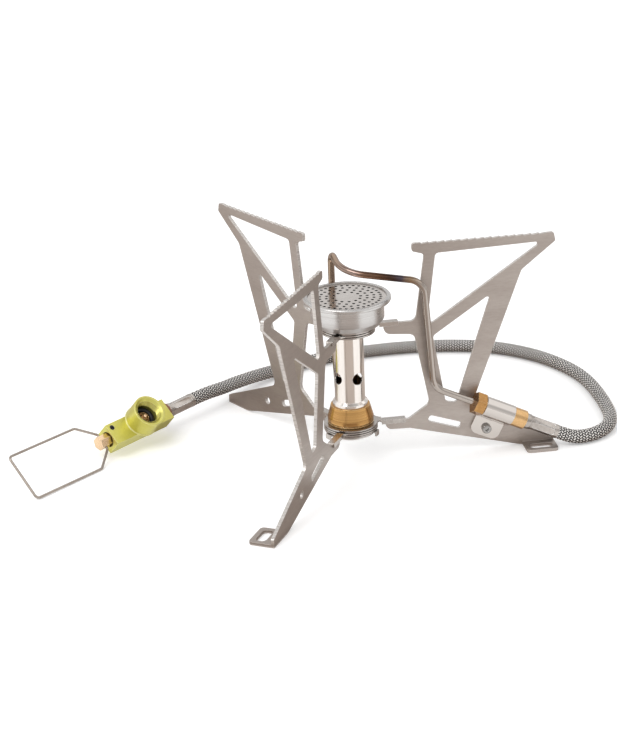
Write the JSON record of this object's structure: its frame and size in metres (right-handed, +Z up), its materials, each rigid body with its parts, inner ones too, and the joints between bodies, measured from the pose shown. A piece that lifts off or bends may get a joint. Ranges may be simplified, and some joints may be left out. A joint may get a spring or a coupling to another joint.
{
  "type": "camping gas stove",
  "caption": "Folding camping gas stove: burner on a tripod of pierced steel legs, with a preheat tube, a braided hose and a remote canister valve.",
  "frame": {"origin": "on the burner axis, at the height of the ground that the feet stand on", "axes": "+Z up along the burner axis; +X along the right leg, which carries the hose connector"},
  "size_m": [0.2802, 0.2058, 0.1],
  "materials": {
    "leg_steel": "satin",
    "ring_steel": "satin",
    "burner_aluminium": "turned",
    "plate_steel": "perforated sheet",
    "tube_steel": "polished",
    "brass": "machined",
    "jet_brass": "machined",
    "preheat_steel": "heat tinted",
    "clip_steel": "polished",
    "screw_steel": "bright zinc",
    "ferrule_steel": "crimped",
    "hose_braid": "stainless braid over rubber",
    "washer_fibre": "fibre",
    "valve_green": "green anodised",
    "black_rubber": "matt",
    "spindle_brass": "machined",
    "dark_steel": "black oxide",
    "handle_wire": "spring wire"
  },
  "bodies": {
    "stove_frame": {"leg_right": "leg_steel", "upper_ring_right": "ring_steel", "lower_ring_right": "ring_steel", "lock_plate": "ring_steel", "burner_cup": "burner_aluminium", "burner_plate": "plate_steel", "mixing_tube": "tube_steel", "upper_clip": "ring_steel", "jet_body": "brass", "gas_jet": "jet_brass", "base_cap": "burner_aluminium", "preheat_tube": "preheat_steel", "gland_nut": "brass", "tube_olive": "brass", "swivel_body": "brass", "hose_clip": "clip_steel", "clip_screw": "screw_steel", "clip_nut": "screw_steel", "hose_ferrule_right": "ferrule_steel", "hose": "hose_braid", "hose_ferrule_left": "ferrule_steel", "sealing_washer": "washer_fibre", "valve_block": "valve_green", "canister_gasket": "black_rubber", "pin_depressor": "brass", "set_screw": "dark_steel"},
    "front_leg": {"leg_front": "leg_steel", "upper_ring_front": "ring_steel", "lower_ring_front": "ring_steel"},
    "rear_leg": {"leg_rear": "leg_steel", "upper_ring_rear": "ring_steel", "lower_ring_rear": "ring_steel"},
    "spindle": {"valve_spindle": "spindle_brass", "spindle_o_ring": "black_rubber"},
    "handle": {"wire_handle": "handle_wire"}
  },
  "joints": [
    {"name": "front_leg_swing", "type": "hinge", "parent": "stove_frame", "child": "front_leg", "pos_m": [0, 0, 0.06], "axis": [0, 0, 1], "range_deg": [0, 96]},
    {"name": "rear_leg_swing", "type": "hinge", "parent": "stove_frame", "child": "rear_leg", "pos_m": [0, 0, 0.06], "axis": [0, 0, 1], "range_deg": [0, 200]},
    {"name": "spindle_turn", "type": "hinge", "parent": "stove_frame", "child": "spindle", "pos_m": [-0.10743, 0.02842, 0.00831], "axis": [-0.7767, -0.6289, -0.0349], "range_deg": [0, 720]},
    {"name": "handle_fold", "type": "hinge", "parent": "spindle", "child": "handle", "pos_m": [-0.10991, 0.02641, 0.0082], "axis": [-0.4788, 0.5534, 0.6816], "range_deg": [0, 155]}
  ],
  "couplings": [
    {"joint": "rear_leg_swing", "follows": "front_leg_swing", "ratio": 2.0833}
  ]
}
